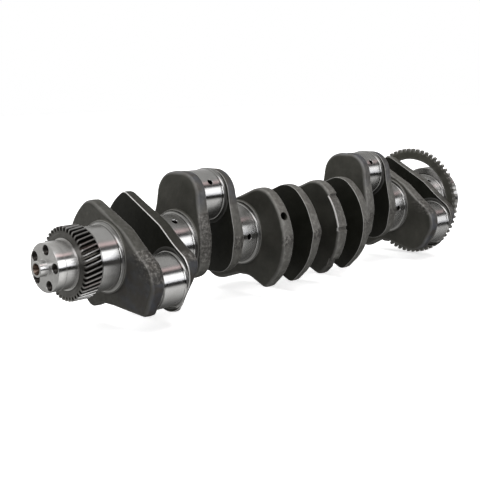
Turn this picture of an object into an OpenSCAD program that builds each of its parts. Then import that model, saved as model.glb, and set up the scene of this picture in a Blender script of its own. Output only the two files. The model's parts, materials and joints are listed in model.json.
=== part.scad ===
// Forged six-throw crankshaft of an inline-six engine, with its crank gear and tone wheel.
// +X runs along the shaft from the nose to the rear flange, +Z is up, and the origin is the
// centre of the fourth main journal. Sizes are in millimetres and angles in degrees. Angles
// round the shaft are measured in the YZ plane, from +Y towards +Z.

/* [Shaft layout] */
// Distance between neighbouring cylinders
cylinder_pitch = 120; // [118:0.5:124]
// Piston stroke, twice the throw of a crankpin
stroke = 124; // [120:1:126]
// Diameter of the main journals
main_d = 83; // [80:0.5:86]
// Width of a main journal between its webs
main_w = 37; // [35:0.5:39]
// Width of the rear main journal
rear_main_w = 37.5; // [36:0.5:40]
// Diameter of the crankpins
pin_d = 69; // [66:0.5:70]
// Width of a crankpin between its webs
pin_w = 41; // [39:0.5:43]
// Radius rolled into the ends of the journals and pins
fillet_r = 3.5; // [2:0.5:4.5]
// Bore of the oil holes
oil_hole_d = 7; // [5:0.5:8]

/* [Webs] */
// Half the width of a web at its crankpin
head_half_w = 37.5; // [36.5:0.5:41]
// How far the head of a web reaches past the centre of its pin
head_reach = 34.5; // [34.5:0.5:37]
// Half the width of a web beside the main journal
waist_half_w = 50.5; // [49:0.5:53]
// Forging draft of the faces that look at a main journal
draft = 4; // [2:0.5:6]
// Radius of the flat seat that carries a main journal
seat_r = 46.5; // [46:0.5:48]
// Radius of the counterweights of webs 1, 2, 11 and 12
end_weight_r = [79, 82, 88, 88]; // [76:0.5:89]
// Radius of the counterweights of webs 5, 6, 7 and 8
mid_weight_r = 82; // [79:0.5:83]
// Bore of the balancing hole in the rim of web 5
balance_hole_d = 11.5; // [6:0.5:13]

/* [Nose] */
// Diameter of the nose
nose_d = 61; // [59:0.5:63]
// Length of the nose in front of the crank gear
nose_l = 27.5; // [24:0.5:32]
// Length of the front main journal, from the crank gear to the first web
front_main_l = 34.5; // [33:0.5:37]
// Diameter of the pilot on the end of the nose
pilot_d = 20; // [16:1:24]
// Length of the pilot
pilot_l = 11; // [8:1:14]
// Number of tapped holes in the nose
nose_bolts = 5; // [4:1:6]
// Pitch circle of the tapped holes in the nose
nose_pcd = 45.5; // [44:0.5:46]
// Tapping drill of the holes in the nose
nose_drill_d = 10.5; // [8.5:0.5:10.5]

/* [Crank gear] */
// Number of teeth on the crank gear
gear_teeth = 42; // [40:1:44]
// Tip diameter of the crank gear
gear_tip_d = 93; // [90:0.5:95]
// Depth of a gear tooth
gear_tooth_h = 5.5; // [5:0.25:6.5]
// Face width of the crank gear
gear_w = 24; // [22:0.5:26]
// Helix angle of the crank gear at its tips
gear_helix = 13; // [8:1:16]
// Bore of the crank gear
gear_bore_d = 65; // [64:0.5:68]

/* [Tone wheel] */
// Number of teeth on the tone wheel
tone_teeth = 60; // [58:1:60]
// Tip diameter of the tone wheel
tone_tip_d = 185; // [183:1:187]
// Depth of a tone wheel tooth
tone_tooth_h = 5.5; // [4:0.5:6]
// Diameter of the opening in the tone wheel
tone_bore_d = 148; // [146:1:150]
// Thickness of the tone wheel
tone_t = 7; // [5:0.5:8]

/* [Rear flange] */
// Diameter of the rear flange
flange_d = 110.5; // [108:0.5:114]
// Thickness of the rear flange
flange_t = 26.5; // [24:0.5:30]
// Number of flywheel bolt holes
flange_bolts = 8; // [6:1:8]
// Pitch circle of the flywheel bolt holes
flange_pcd = 84; // [82:0.5:86]
// Tapping drill of the flywheel bolt holes
flange_drill_d = 10.5; // [8.5:0.5:10.5]
// Bore of the recess in the middle of the flange
recess_d = 47; // [40:1:50]

/* [Hidden] */
$fn = 64;
arc_step = 9;
throw = stroke / 2;
main_r = main_d / 2;
pin_r = pin_d / 2;
web_t = (cylinder_pitch - main_w - pin_w) / 2;
head_top = throw + head_reach;
head_round = 32;
// Larger than any part, for the blocks that cut the webs
beyond = 150;

// Directions of the six crankpins, and of the oil holes in the seven main journals
PIN_ANGLES = [210, 90, -30, -30, 90, 210];
MAIN_OIL_ANGLES = [302, 123, 180, 60, 302, 180, 122];
pin_oil_turn = 55;
// Places along the shaft: pin and main centres, then the front faces of the webs
PIN_X = [for (i = [0:5]) (i - 2.5) * cylinder_pitch];
MAIN_X = [for (i = [0:6]) (i - 3) * cylinder_pitch];
WEB_X = [for (x = PIN_X) each [x - pin_w / 2 - web_t, x + pin_w / 2]];

gear_rear_x = WEB_X[0] - front_main_l;
gear_front_x = gear_rear_x - gear_w;
nose_face_x = gear_front_x - nose_l;
web_end_x = WEB_X[11] + web_t;
flange_x = web_end_x + rear_main_w;
flange_face_x = flange_x + flange_t;

// The counterweights of webs 5 to 8 swing about a point a little off the shaft
mid_weight_centre = [6.5, -2.5];
// Every counterweight's rim ends at this angle, then runs straight to a rounded corner
weight_end_angle = -14;
weight_run = 22;
weight_corner_r = 12;
// The seats stand this far above the forged faces, and reach this deep into the web
seat_step = 0.6;
seat_depth = 6;
// The bevels on the heads of webs 2 and 12 end this far from the shaft
bevel_edge = 82;
bevel_slope = 50;
// The rolled ends of a pin are trimmed this far outside the outline of its webs
pin_trim_gap = 0.4;
balance_hole_angle = 160;
balance_hole_depth = 24;

chamfer = 1.2;
nose_bolt_angle = 31.5;
nose_bolt_depth = 30;
countersink_r = 6.3;
groove_x = nose_face_x + 11;
groove_h = 0.5;
centre_drill_d = 7;
centre_drill_depth = 16;
// The mouth of the centre hole is a 60 degree cone
centre_mouth_r = 7.3;

// One tooth and the gap after it: share of the tooth depth and share of the tooth pitch
GEAR_TOOTH = [[1, -0.16], [1, 0.16], [0, 0.36], [0, 0.64]];
TONE_TOOTH = [[1, -0.21], [1, 0.21], [0, 0.28], [0, 0.72]];
gear_phase = 6;
tone_phase = 2.25;
key_w = 8;
key_h = 6;
key_front_gap = 6;
key_rear_gap = 2;

// The tone wheel hangs over the rear of web 12 by this much
tone_overlap = 7.5;
tone_x = web_end_x - tone_overlap;
tone_screw_d = 6;
tone_screw_head_d = 10.5;
tone_screw_head_h = 3;
tone_screw_depth = 10;
tone_screw_circle_r = 79.5;
tone_screw_angles = [-42, -14, 14, 42];

flange_bolt_angle = 22.5;
flange_bolt_depth = 20;
recess_depth = 10;
dowel_d = 8;
dowel_in = 12;
dowel_out = 8;

// ---- Outlines ----

function unit(v) = v / norm(v);
function polar(r, t) = [r * cos(t), r * sin(t)];

// The arc of radius r that rounds corner b of the path a, b, c
function corner(a, b, c, r) =
    let (u = unit(b - a), v = unit(c - b),
        sweep = atan2(u.x * v.y - u.y * v.x, u.x * v.x + u.y * v.y),
        start = b - u * r * tan(abs(sweep) / 2),
        centre = start + sign(sweep) * r * [-u.y, u.x],
        from = atan2(start.y - centre.y, start.x - centre.x),
        steps = max(1, ceil(abs(sweep) / arc_step)))
    [for (i = [0:steps]) centre + polar(r, from + sweep * i / steps)];

// Leaves out a point that repeats the one before it, as where two arcs meet
function distinct(p) = [for (i = [0:len(p) - 1])
    if (norm(p[i] - p[(i + len(p) - 1) % len(p)]) > 0.05) p[i]];

// A closed outline through corners [x, y, radius]
function rounded(p) = let (n = len(p), q = [for (c = p) [c.x, c.y]]) distinct(
    [for (i = [0:n - 1]) each corner(q[(i + n - 1) % n], q[i], q[(i + 1) % n], p[i].z)]);

// Corners which rounded() turns into one arc of radius r about centre. The arc runs on
// along its tangents, back to x = left_x and forwards by run, to two rounded corners.
function rim(centre, r, from, to, left_x, left_round, run, right_round) =
    let (parts = 3, half = (to - from) / parts / 2,
        start = centre + polar(r, from), end = centre + polar(r, to) + polar(run, to + 90))
    [[left_x, start.y - (left_x - start.x) / tan(from), left_round],
        for (i = [0:parts - 1]) let (p = centre + polar(r / cos(half), from + (2 * i + 1) * half))
            [p.x, p.y, r],
        [end.x, end.y, right_round]];

// One side of a web from the top of its head down to the shaft, on the side of sign s
function flank(s) = [[s * head_half_w, head_top, head_round],
    [s * (head_half_w + 6), 50, 60], [s * waist_half_w, 14, 50]];

function reverse(p) = [for (i = [len(p) - 1:-1:0]) p[i]];

// Webs are drawn with their crankpin straight up. A plain web closes round the shaft.
plain_web = rounded(concat(reverse(flank(1)), flank(-1), [[-43, -47, 32], [43, -47, 32]]));

// A counterweight of radius r spreads from the lower left round to the right
function weighted_web(r, centre, from, left_x, left_round, head_corner) = rounded(concat(
    [head_corner], flank(-1), rim(centre, r, from, weight_end_angle, left_x, left_round,
        weight_run, weight_corner_r),
    [[61, 19, 30], [50.5, 38, 30]]));

full_head = [head_half_w, head_top, head_round];
function end_web(i) = i == 0
    ? weighted_web(end_weight_r[i], [0, 0], -112, -46, 24, [23, head_top, 9])
    : weighted_web(end_weight_r[i], [0, 0], -117, -50, 14, full_head);
mid_web = weighted_web(mid_weight_r, mid_weight_centre, -106, -40, 34, full_head);

// ---- Shared solids ----

// Lays an outline in the YZ plane and extrudes it along +X from x
module along_x(x, l, twist = 0, slices = 1) translate([x, 0, 0]) rotate([90, 0, 90])
    linear_extrude(l, twist = twist, slices = slices) children();

module rod(x, l, r) translate([x, 0, 0]) rotate([0, 90, 0]) cylinder(r = r, h = l);

// A solid turned about the X axis from points [x, radius]
module turned(points) rotate([0, 90, 0]) rotate_extrude() polygon([for (p = points) [p.y, p.x]]);

// Repeats its children n times round the shaft, the first at angle from
module around(n, from) for (i = [0:n - 1]) rotate([from + i * 360 / n, 0, 0]) children();

module at_pin(angle) translate([0, throw * cos(angle), throw * sin(angle)]) children();

// A ground journal with a radius rolled into both of its ends, drilled from angle for oil
module journal(x, l, r, angle) difference() {
    quarter = [for (t = [0:15:90]) fillet_r * [1 - cos(t), 1 - sin(t)]];
    turned(concat([[x, 0]], [for (q = quarter) [x + q.x, r + q.y]],
        [for (q = reverse(quarter)) [x + l - q.x, r + q.y]], [[x + l, 0]]));
    translate([x + l / 2, 0, 0]) rotate([angle - 90, 0, 0])
        cylinder(d = oil_hole_d, h = r + fillet_r);
}

// ---- The forging ----

module crank_nose() color("silver") difference() {
    nose_r = nose_d / 2;
    turned([[nose_face_x - pilot_l, 0], [nose_face_x - pilot_l, pilot_d / 2 - chamfer],
        [nose_face_x - pilot_l + chamfer, pilot_d / 2], [nose_face_x, pilot_d / 2],
        [nose_face_x, nose_r - chamfer], [nose_face_x + chamfer, nose_r],
        [groove_x, nose_r], [groove_x + groove_h, nose_r - groove_h],
        [groove_x + 2 * groove_h, nose_r],
        [gear_front_x, nose_r], [gear_front_x, gear_bore_d / 2],
        [gear_rear_x, gear_bore_d / 2], [gear_rear_x, 0]]);
    around(nose_bolts, nose_bolt_angle) translate([0, nose_pcd / 2, 0]) {
        rod(nose_face_x - 1, nose_bolt_depth + 1, nose_drill_d / 2);
        turned([[nose_face_x - 1, 0], [nose_face_x - 1, countersink_r + 1],
            [nose_face_x + countersink_r, 0]]);
    }
    rod(nose_face_x - pilot_l - 1, centre_drill_depth + 1, centre_drill_d / 2);
    turned([[nose_face_x - pilot_l - 1, 0],
        [nose_face_x - pilot_l - 1, centre_mouth_r + tan(30)],
        [nose_face_x - pilot_l + centre_mouth_r / tan(30), 0]]);
    key_slot(key_rear_gap);
}

module main_journal(i) color("gainsboro")
    if (i == 0) journal(gear_rear_x, front_main_l, main_r, MAIN_OIL_ANGLES[i]);
    else if (i == 6) journal(web_end_x, rear_main_w, main_r, MAIN_OIL_ANGLES[i]);
    else journal(MAIN_X[i] - main_w / 2, main_w, main_r, MAIN_OIL_ANGLES[i]);

// The rolled ends of a pin stop at the outline of its webs
module crankpin(i) color("gainsboro") intersection() {
    at_pin(PIN_ANGLES[i])
        journal(PIN_X[i] - pin_w / 2, pin_w, pin_r, PIN_ANGLES[i] + pin_oil_turn);
    rotate([PIN_ANGLES[i] - 90, 0, 0]) along_x(PIN_X[i] - pin_w / 2 - 1, pin_w + 2)
        translate([0, pin_trim_gap]) polygon(plain_web);
}

// Takes the draft off a web whose main journal lies at -X, from both sides of the
// parting plane through the shaft
module draft_cut() for (s = [-1, 1]) scale([1, 1, s]) rotate([0, draft, 0])
    translate([-beyond, -beyond, -1]) cube([beyond, 2 * beyond, 2 * beyond]);

// A web at its place on the shaft, with the face that looks at the main journal drafted
module forged_web(i, outline, flip) {
    middle = WEB_X[i] + web_t / 2;
    main_side = i % 2 == 0 ? -1 : 1;
    translate([middle, 0, 0]) {
        difference() {
            rotate([PIN_ANGLES[floor(i / 2)] - 90, 0, 0])
                along_x(-web_t / 2, web_t) scale([flip, 1]) polygon(outline);
            scale([-main_side, 1, 1]) translate([seat_step - web_t / 2, 0, 0]) draft_cut();
        }
        rod(main_side < 0 ? -web_t / 2 : web_t / 2 - seat_depth, seat_depth, seat_r);
    }
}

// The plane that bevels the head of web i on the side of its rear main journal
module head_bevel(i) rotate([PIN_ANGLES[floor(i / 2)] - 90, 0, 0])
    translate([WEB_X[i] + web_t, 0, bevel_edge]) rotate([0, -bevel_slope, 0])
        translate([0, -beyond, -beyond / 4]) cube([beyond, 2 * beyond, beyond]);

module web(i) color("dimgray") difference() {
    if (i < 2) forged_web(i, end_web(i), -1);
    else if (i > 9) forged_web(i, end_web(i - 8), -1);
    else if (i > 3 && i < 8) forged_web(i, mid_web, 1);
    else forged_web(i, plain_web, 1);
    if (i == 1 || i == 11) head_bevel(i);
    if (i == 4) translate([WEB_X[i] + web_t / 2, 0, 0]) rotate([balance_hole_angle - 90, 0, 0])
        translate([0, 0, mid_weight_r - balance_hole_depth])
            cylinder(d = balance_hole_d, h = 2 * balance_hole_depth);
    if (i == 11) {
        difference() {
            rod(tone_x, tone_overlap + 1, beyond);
            rod(tone_x - 1, tone_overlap + 3, tone_bore_d / 2);
        }
        tone_screw_places()
            rod(tone_x - tone_screw_depth, tone_screw_depth + tone_overlap, tone_screw_d / 2);
    }
}

module rear_flange() color("gray") difference() {
    flange_r = flange_d / 2;
    turned([[flange_x, 0], [flange_x, flange_r - chamfer], [flange_x + chamfer, flange_r],
        [flange_face_x - chamfer, flange_r], [flange_face_x, flange_r - chamfer],
        [flange_face_x, 0]]);
    around(flange_bolts, flange_bolt_angle) translate([0, flange_pcd / 2, 0])
        rod(flange_face_x - flange_bolt_depth, flange_bolt_depth + 1, flange_drill_d / 2);
    rod(flange_face_x - recess_depth, recess_depth + 1, recess_d / 2);
    dowel(dowel_in + 1);
}

// ---- Pieces fitted to the forging ----

module key_slot(rear_gap) translate([gear_front_x + key_front_gap, -key_w / 2,
    gear_bore_d / 2 - key_h / 2]) cube([gear_w - key_front_gap - rear_gap, key_w, key_h]);

module gear_key() color("darkgray") key_slot(key_rear_gap);

// A ring of teeth, each with the corners that shape gives
module toothed(teeth, tip_r, depth, shape, phase) polygon([for (i = [0:teeth - 1], p = shape)
    polar(tip_r - depth * (1 - p.x), phase + (i + p.y) * 360 / teeth)]);

module crank_gear() color("slategray") difference() {
    tip_r = gear_tip_d / 2;
    twist = gear_w * tan(gear_helix) / tip_r * 180 / PI;
    along_x(gear_front_x, gear_w, twist, 4)
        toothed(gear_teeth, tip_r, gear_tooth_h, GEAR_TOOTH, gear_phase);
    rod(gear_front_x - 1, gear_w + 2, gear_bore_d / 2);
    key_slot(-1);
}

module tone_wheel() color("darkslategray") difference() {
    along_x(tone_x, tone_t)
        toothed(tone_teeth, tone_tip_d / 2, tone_tooth_h, TONE_TOOTH, tone_phase);
    rod(tone_x - 1, tone_t + 2, tone_bore_d / 2);
    tone_screw_places() rod(tone_x - 1, tone_t + 2, tone_screw_d / 2);
}

module tone_screw_places() for (t = tone_screw_angles)
    rotate([t, 0, 0]) translate([0, tone_screw_circle_r, 0]) children();

module tone_wheel_screws() color("silver") tone_screw_places() {
    rod(tone_x - tone_screw_depth, tone_screw_depth + tone_t, tone_screw_d / 2);
    rod(tone_x + tone_t, tone_screw_head_h, tone_screw_head_d / 2);
}

// The dowel lies midway between two flywheel bolt holes
module dowel(depth) translate([0, flange_pcd / 2, 0])
    rod(flange_face_x - dowel_in, depth, dowel_d / 2);

module flywheel_dowel() color("silver") dowel(dowel_in + dowel_out);

crank_nose();
crank_gear();
gear_key();
for (i = [0:6]) main_journal(i);
for (i = [0:5]) crankpin(i);
for (i = [0:11]) web(i);
rear_flange();
tone_wheel();
tone_wheel_screws();
flywheel_dowel();
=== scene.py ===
"""The looks of a forged six-throw crankshaft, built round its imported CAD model.

Lengths are in millimetres until a piece is made, which turns them into metres. X runs along
the shaft from the nose to the flange, +Z is up, and angles round the shaft are in degrees,
from +Y towards +Z. A web's own outline is drawn with its crankpin straight up.
"""
import json
import math

import bmesh
import bpy
import numpy as np
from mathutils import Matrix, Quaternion, Vector, noise


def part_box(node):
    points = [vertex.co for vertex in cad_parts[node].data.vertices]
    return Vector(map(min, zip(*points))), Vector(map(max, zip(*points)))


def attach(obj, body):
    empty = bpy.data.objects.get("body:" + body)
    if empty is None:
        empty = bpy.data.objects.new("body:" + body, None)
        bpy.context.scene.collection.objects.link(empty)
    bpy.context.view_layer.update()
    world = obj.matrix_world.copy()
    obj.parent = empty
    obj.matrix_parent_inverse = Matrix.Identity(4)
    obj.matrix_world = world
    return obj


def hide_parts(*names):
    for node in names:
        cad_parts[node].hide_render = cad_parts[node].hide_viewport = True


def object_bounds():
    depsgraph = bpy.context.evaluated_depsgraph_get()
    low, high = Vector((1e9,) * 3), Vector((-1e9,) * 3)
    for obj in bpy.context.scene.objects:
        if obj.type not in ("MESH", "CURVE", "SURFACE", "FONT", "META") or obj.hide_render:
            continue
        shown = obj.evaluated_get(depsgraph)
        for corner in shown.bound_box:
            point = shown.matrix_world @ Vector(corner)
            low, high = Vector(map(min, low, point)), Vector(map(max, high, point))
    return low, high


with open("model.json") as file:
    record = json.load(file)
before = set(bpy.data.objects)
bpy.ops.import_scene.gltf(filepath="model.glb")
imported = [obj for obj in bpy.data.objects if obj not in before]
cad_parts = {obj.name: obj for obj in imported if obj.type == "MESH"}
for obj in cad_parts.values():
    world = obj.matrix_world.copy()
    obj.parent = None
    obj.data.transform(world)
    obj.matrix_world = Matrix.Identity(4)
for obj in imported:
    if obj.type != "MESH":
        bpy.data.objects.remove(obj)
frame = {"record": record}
cad_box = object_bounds()

MM = 0.001
MOUNTS = {m["name"]: np.array(m["pos_m"]) / MM for m in frame["record"]["mounts"]}


def node_box(name):
    """The lowest and highest corners of a CAD node, in millimetres."""
    return [np.array(end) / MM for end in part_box(name)]


# ---- Driving sizes ----

# The angles of the crankpins and of the oil holes in the main journals, and the turn from
# a crankpin's angle to its oil hole
PIN_ANGLES = (210, 90, -30, -30, 90, 210)
MAIN_OIL_ANGLES = (302, 123, 180, 60, 302, 180, 122)
PIN_OIL_TURN = 55
THROW = 62
PIN_R = 34.5
MAIN_R = 41.5
# The rolled fillets lie below the ground band by the relief
FILLET_R = 3.5
RELIEF = 0.18
OIL_HOLE_R = 3.5
# A web's thickness, the step up to its turned seat, and the low pad beside the crankpin
WEB_T = 21
SEAT_R = 46.5
SEAT_STEP = 0.6
PAD_R = 41.5
PAD_STEP = 0.45
# The head of a web, and where the bevel of some heads starts
HEAD_HALF_W = 37.5
HEAD_TOP = THROW + PIN_R
HEAD_ROUND = 32
BEVEL_EDGE = 82
BEVEL_SLOPE = math.tan(math.radians(50))
# The forged faces: their slope, their rounded edge, and the space between their points
DRAFT = math.tan(math.radians(4))
EDGE_ROUND = 4.5
SPACING = 1.3
TONE_BORE = 74
# The radius that stands for the axis of a turned shape, and what turns a direction along
# X a hair off it, so that a half turn to it is well defined
AXIS = 0.05
HAIR = 0.0001


# ---- Small tools ----

def polar(radius, degrees):
    return np.array([radius * math.cos(math.radians(degrees)),
                     radius * math.sin(math.radians(degrees))])


def unit(v):
    return v / np.linalg.norm(v)


def smoothstep(low, high, x):
    t = np.clip((x - low) / (high - low), 0, 1)
    return t * t * (3 - 2 * t)


def rough(points, size, seed):
    """Noise from -1 to 1 at each point, whose bumps are about size millimetres across."""
    shift = Vector((seed * 17.3, seed * 5.1, seed * 9.7))
    return np.array([noise.noise(Vector(p) / size + shift) for p in points])


def loft(loops, cyclic=False):
    """Quads between loops of equal length. The ends are capped, or joined if cyclic."""
    count, size = len(loops), len(loops[0])
    faces = []
    for j in range(count if cyclic else count - 1):
        a, b = j * size, (j + 1) % count * size
        for i in range(size):
            k = (i + 1) % size
            faces.append((a + i, a + k, b + k, b + i))
    if not cyclic:
        faces.append(tuple(range(size - 1, -1, -1)))
        faces.append(tuple(range((count - 1) * size, count * size)))
    return np.concatenate(loops), faces


def full_turn(segments):
    return np.arange(segments) * 2 * math.pi / segments


def ring(x, radius, t, centre=(0, 0)):
    """A loop of points at angles t in radians round an axis along X."""
    return np.stack([np.full(len(t), x), centre[0] + radius * np.cos(t),
                     centre[1] + radius * np.sin(t)], 1)


def turned(profile, segments=192, centre=(0, 0)):
    """A solid turned about an axis along X, from points (x, radius)."""
    return loft([ring(x, r, full_turn(segments), centre) for x, r in profile])


def aimed(verts, origin, direction):
    """Points made along +X from 0, moved to origin and turned to point along direction."""
    turn = Vector((1, 0, 0)).rotation_difference(Vector(direction)).to_matrix()
    return verts @ np.array(turn).T + np.array(origin)


def add_object(name, data):
    obj = bpy.data.objects.new(name, data)
    bpy.context.scene.collection.objects.link(obj)
    return obj


def piece(name, verts, faces, material, slot, nodes, sharp=32, masks=None):
    """A finished piece in place of CAD nodes. masks are named values for the vertices."""
    mesh = bpy.data.meshes.new(name)
    mesh.from_pydata((np.asarray(verts) * MM).tolist(), [], faces)
    for mask, values in (masks or {}).items():
        layer = mesh.attributes.new(mask, "FLOAT", "POINT")
        layer.data.foreach_set("value", np.asarray(values, np.float32))
    mesh.materials.append(material)
    obj = add_object(name, mesh)
    finish_mesh(obj, sharp)
    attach(obj, "root")
    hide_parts(*nodes)
    return obj


def finish_mesh(obj, sharp):
    """Turns the faces outwards and shades them smooth, except across sharp edges."""
    shape = bmesh.new()
    shape.from_mesh(obj.data)
    bmesh.ops.recalc_face_normals(shape, faces=shape.faces)
    shape.to_mesh(obj.data)
    shape.free()
    obj.data.shade_smooth()
    obj.data.set_sharp_from_angle(angle=math.radians(sharp))


def cut(obj, cutters, sharp=32):
    """Takes closed shapes, each (verts, faces), out of obj."""
    for verts, faces in cutters:
        mesh = bpy.data.meshes.new("cutter")
        mesh.from_pydata((verts * MM).tolist(), [], faces)
        tool = add_object("cutter", mesh)
        finish_mesh(tool, sharp)
        change = obj.modifiers.new("cut", "BOOLEAN")
        change.operation = "DIFFERENCE"
        change.solver = "EXACT"
        change.object = tool
        bpy.context.view_layer.update()
        done = bpy.data.meshes.new_from_object(
            obj.evaluated_get(bpy.context.evaluated_depsgraph_get()))
        obj.modifiers.clear()
        obj.data = done
        bpy.data.objects.remove(tool)
    obj.data.shade_smooth()
    obj.data.set_sharp_from_angle(angle=math.radians(sharp))


def points_of(mesh):
    """Where the vertices are, in millimetres."""
    co = np.zeros(len(mesh.vertices) * 3)
    mesh.vertices.foreach_get("co", co)
    return co.reshape(-1, 3) / MM


def set_mask(obj, name, where):
    """Writes a named value for each vertex: where takes the points in millimetres."""
    values = np.asarray(where(points_of(obj.data)), np.float32)
    layer = obj.data.attributes.get(name)
    if layer is None:
        layer = obj.data.attributes.new(name, "FLOAT", "POINT")
    layer.data.foreach_set("value", values)


def true_round(obj, radius, centre):
    """Gives the ground band of a journal with an oil hole the normals of a true cylinder."""
    mesh = obj.data
    spoke = points_of(mesh)[:, 1:] - centre
    length = np.linalg.norm(spoke, axis=1)
    on_band = abs(length - radius) < 0.02
    normals = np.zeros((len(mesh.loops), 3))
    for face in mesh.polygons:
        corners = list(face.vertices)
        if on_band[corners].all() and abs(face.normal.x) < 0.2:
            for loop, v in zip(face.loop_indices, corners):
                normals[loop, 1:] = spoke[v] / length[v]
    mesh.normals_split_custom_set(normals.tolist())


# ---- Materials ----

class Nodes:
    """A node tree that is built step by step."""

    def __init__(self, tree):
        self.tree = tree

    def link(self, source, target):
        """Feeds an input from an output, or sets it to a plain value."""
        if isinstance(source, bpy.types.NodeSocket):
            self.tree.links.new(source, target)
        else:
            target.default_value = source

    def made(self, kind, inputs, output=0, **settings):
        """One of the outputs of a new node, once its inputs are fed."""
        node = self.tree.nodes.new(kind)
        for key, value in settings.items():
            setattr(node, key, value)
        for key, source in inputs.items():
            self.link(source, node.inputs[key])
        return node.outputs[output]

    def split(self, vector):
        node = self.tree.nodes.new("ShaderNodeSeparateXYZ")
        self.link(vector, node.inputs[0])
        return [node.outputs[axis] for axis in "XYZ"]

    def mixed(self, share, a, b):
        """Colour a, or b where share is 1."""
        return self.made("ShaderNodeMix", {0: share, 6: a, 7: b}, 2, data_type="RGBA")

    def ramp(self, value, *stops, gain=1):
        """A value turned into gain times colours or plain numbers, as (place, colour)."""
        node = self.tree.nodes.new("ShaderNodeValToRGB")
        self.link(value, node.inputs[0])
        points = node.color_ramp.elements
        while len(points) < len(stops):
            points.new(0.5)
        for point, (place, colour) in zip(points, stops):
            point.position = place
            colour = (colour,) * 3 if isinstance(colour, (int, float)) else colour
            point.color = (*[level * gain for level in colour], 1)
        return node.outputs["Color"]


class Paint(Nodes):
    """A material made of noise at the place on the object, in metres."""

    def __init__(self, name, metallic):
        self.material = bpy.data.materials.new(name)
        self.material.use_nodes = True
        super().__init__(self.material.node_tree)
        self.shader = self.tree.nodes["Principled BSDF"]
        self.shade({"Metallic": metallic})
        self.place = self.made("ShaderNodeTexCoord", {}, "Object")

    def shade(self, inputs):
        for name, source in inputs.items():
            self.link(source, self.shader.inputs[name])

    def stretched(self, scale):
        """The place, times scale along each axis."""
        return self.made("ShaderNodeVectorMath", {0: self.place, 1: scale},
                         operation="MULTIPLY")

    def lathe(self, across):
        """A coordinate that changes along the shaft and with distance from it, as tool
        marks do, across times a metre."""
        x, y, z = self.split(self.place)
        flat = self.made("ShaderNodeCombineXYZ", {"Y": y, "Z": z})
        radius = self.made("ShaderNodeVectorMath", {0: flat}, "Value", operation="LENGTH")
        both = self.made("ShaderNodeCombineXYZ", {"X": x, "Y": radius})
        return self.made("ShaderNodeVectorMath", {0: both, "Scale": across},
                         operation="SCALE")

    def grain(self, where, scale, detail=4, roughness=0.55):
        """Noise from 0 to 1 whose bumps are about 1 / scale of a metre across."""
        inputs = {"Vector": where, "Scale": scale, "Detail": detail, "Roughness": roughness}
        return self.made("ShaderNodeTexNoise", inputs, "Fac")

    def mask(self, name):
        """A value that the mesh carries under this name."""
        return self.made("ShaderNodeAttribute", {}, "Fac", attribute_name=name)

    def bump(self, height, strength, depth_mm, under=None):
        inputs = {"Strength": strength, "Distance": depth_mm * MM, "Height": height}
        if under is not None:
            inputs["Normal"] = under
        return self.made("ShaderNodeBump", inputs)

    def brushed_round(self):
        """Stretches the gloss along the shaft, as grinding marks round it do."""
        tangent = self.made("ShaderNodeTangent", {}, direction_type="RADIAL", axis="X")
        self.shade({"Tangent": tangent, "Anisotropic": 1.0, "Anisotropic Rotation": 0.25})

    def finish(self, colour, roughness, normal, metallic=None):
        self.shade({"Base Color": colour, "Roughness": roughness, "Normal": normal})
        if metallic is not None:
            self.shade({"Metallic": metallic})
        return self.material


def forged_steel():
    """Dark shot-blasted scale, lighter on the rims and the trimmed flash, with bare metal on
    the machined edges. Painted shade blackens the sides that face a pin and one web's
    underside, painted highlights brighten the edges, and painted light lightens the first web's
    face."""
    p = Paint("forged_steel", 0.5)
    cloud = p.grain(p.place, 38, 6, 0.6)
    speck = p.grain(p.place, 700, 3, 0.6)
    scale = p.ramp(cloud, (0.30, (0.047, 0.046, 0.038)), (0.55, (0.068, 0.066, 0.056)),
                   (0.75, (0.092, 0.088, 0.075)))
    black_scale_and_shade = p.ramp(cloud, (0.35, (0.012, 0.012, 0.008)), (0.70, (0.022, 0.022, 0.016)))
    rim = p.ramp(p.grain(p.place, 160, 6, 0.65), (0.32, (0.088, 0.085, 0.076)),
                 (0.55, (0.142, 0.138, 0.126)), (0.72, (0.23, 0.224, 0.206)))
    trim = p.ramp(p.grain(p.place, 240, 5, 0.7), (0.36, (0.032, 0.029, 0.026)),
                  (0.50, (0.078, 0.074, 0.067)), (0.68, (0.27, 0.26, 0.24)))
    tint = p.ramp(p.grain(p.place, 55, 3, 0.5), (0.40, (0.052, 0.046, 0.042)),
                  (0.60, (0.062, 0.066, 0.080)))
    # Bare metal, light enough to serve also as painted highlights along the edges
    bare = p.ramp(speck, (0.3, (0.72, 0.71, 0.69)), (0.7, (0.94, 0.93, 0.91)))
    colour = p.mixed(p.mask("dark"), scale, black_scale_and_shade)
    colour = p.mixed(p.mask("rim"), colour, rim)
    colour = p.mixed(p.mask("tint"), colour, tint)
    colour = p.mixed(p.mask("trim"), colour, trim)
    colour = p.mixed(p.mask("edge"), colour, bare)
    polish = p.ramp(p.grain(p.place, 90, 4, 0.6), (0.3, 0.44), (0.7, 0.58))
    polish = p.mixed(p.mask("edge"), polish, p.ramp(speck, (0.3, 0.26), (0.7, 0.36)))
    metal = p.ramp(p.mask("edge"), (0.0, 0.5), (1.0, 0.65))
    low = p.bump(p.grain(p.place, 130, 4, 0.6), 0.35, 0.9)
    return p.finish(colour, polish, p.bump(speck, 0.38, 0.32, low), metal)


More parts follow.
